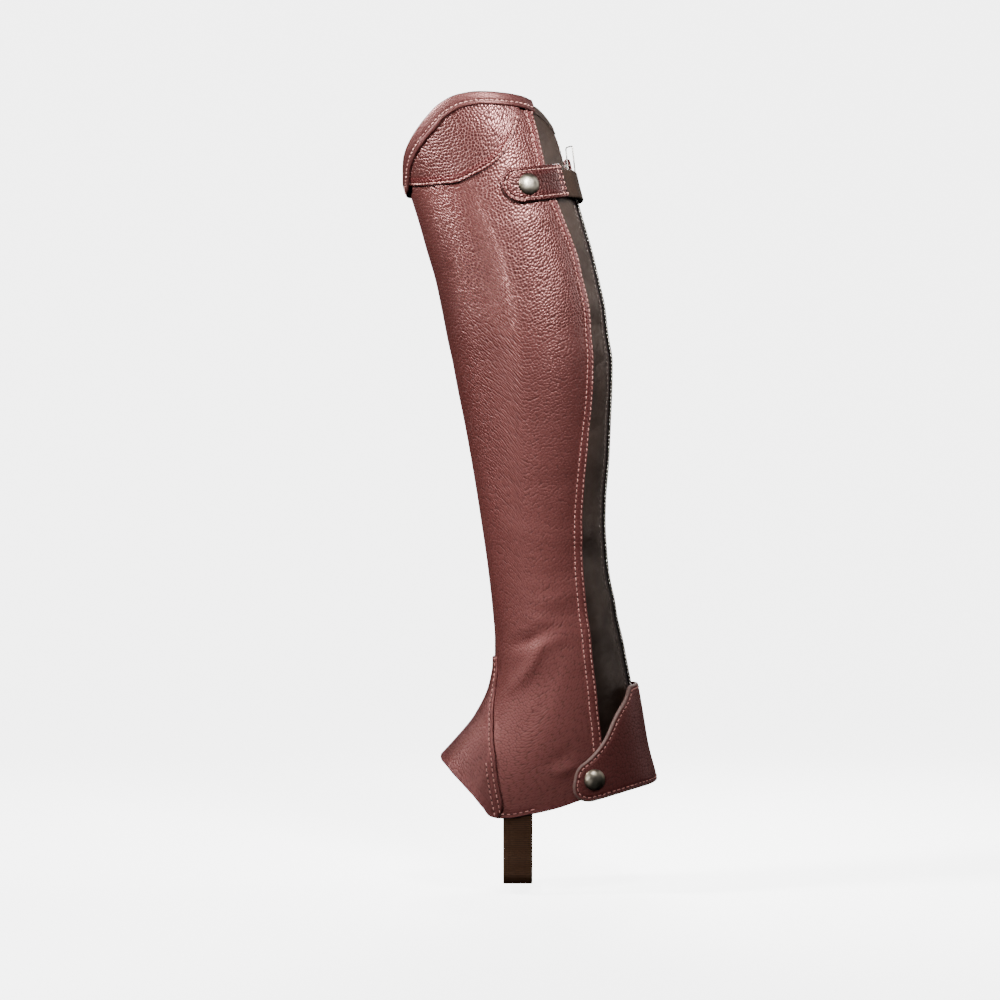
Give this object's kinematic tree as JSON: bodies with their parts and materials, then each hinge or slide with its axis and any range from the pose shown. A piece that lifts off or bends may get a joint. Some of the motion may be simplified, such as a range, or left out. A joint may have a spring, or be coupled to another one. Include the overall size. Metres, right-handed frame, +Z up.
{
  "type": "leather half chap",
  "caption": "Left leather half chap that wraps the lower leg from knee to ankle, with an elastic back panel, a back zip, snapped tabs and an elastic stirrup for the boot's sole.",
  "frame": {"origin": "middle of the widest part of the calf, inside the hollow that the leg fills", "axes": "+Z up the leg, -X to the shin, +X to the back, -Y to the outer side of a left leg"},
  "size_m": [0.176, 0.1192, 0.536],
  "materials": {
    "oxblood_leather": "soft pebble grain, semi-gloss, with pinkish thread",
    "brown_stretch": "smooth coated stretch fabric with a satin sheen",
    "brown_webbing": "ribbed elastic webbing, matt",
    "zip_tape": "woven tape, matt",
    "zip_metal": "bright nickel plate",
    "antique_nickel": "aged nickel, lightly worn"
  },
  "bodies": {
    "half_chap": {"main_panel": "oxblood_leather", "knee_piece": "oxblood_leather", "top_binding": "oxblood_leather", "instep_piece": "oxblood_leather", "heel_tab": "oxblood_leather", "top_tab": "oxblood_leather", "stretch_panel": "brown_stretch", "stretch_hem": "brown_stretch", "top_elastic": "brown_webbing", "stirrup_elastic": "brown_webbing", "zip_tape_outer": "zip_tape", "zip_tape_inner": "zip_tape", "zip_chain": "zip_metal", "zip_stop_outer": "zip_metal", "zip_stop_inner": "zip_metal", "zip_slider": "zip_metal", "top_snap_cap": "antique_nickel", "top_snap_stud": "antique_nickel", "heel_snap_cap": "antique_nickel", "heel_snap_stud": "antique_nickel"},
    "zip_pull_tab": {"zip_pull": "zip_metal"}
  },
  "joints": [
    {"name": "zip_pull_hinge", "type": "hinge", "parent": "half_chap", "child": "zip_pull_tab", "pos_m": [0.02877, -0.00886, 0.11629], "axis": [-0.0519, 0.9986, -0.0122], "range_deg": [-12, 10]}
  ]
}
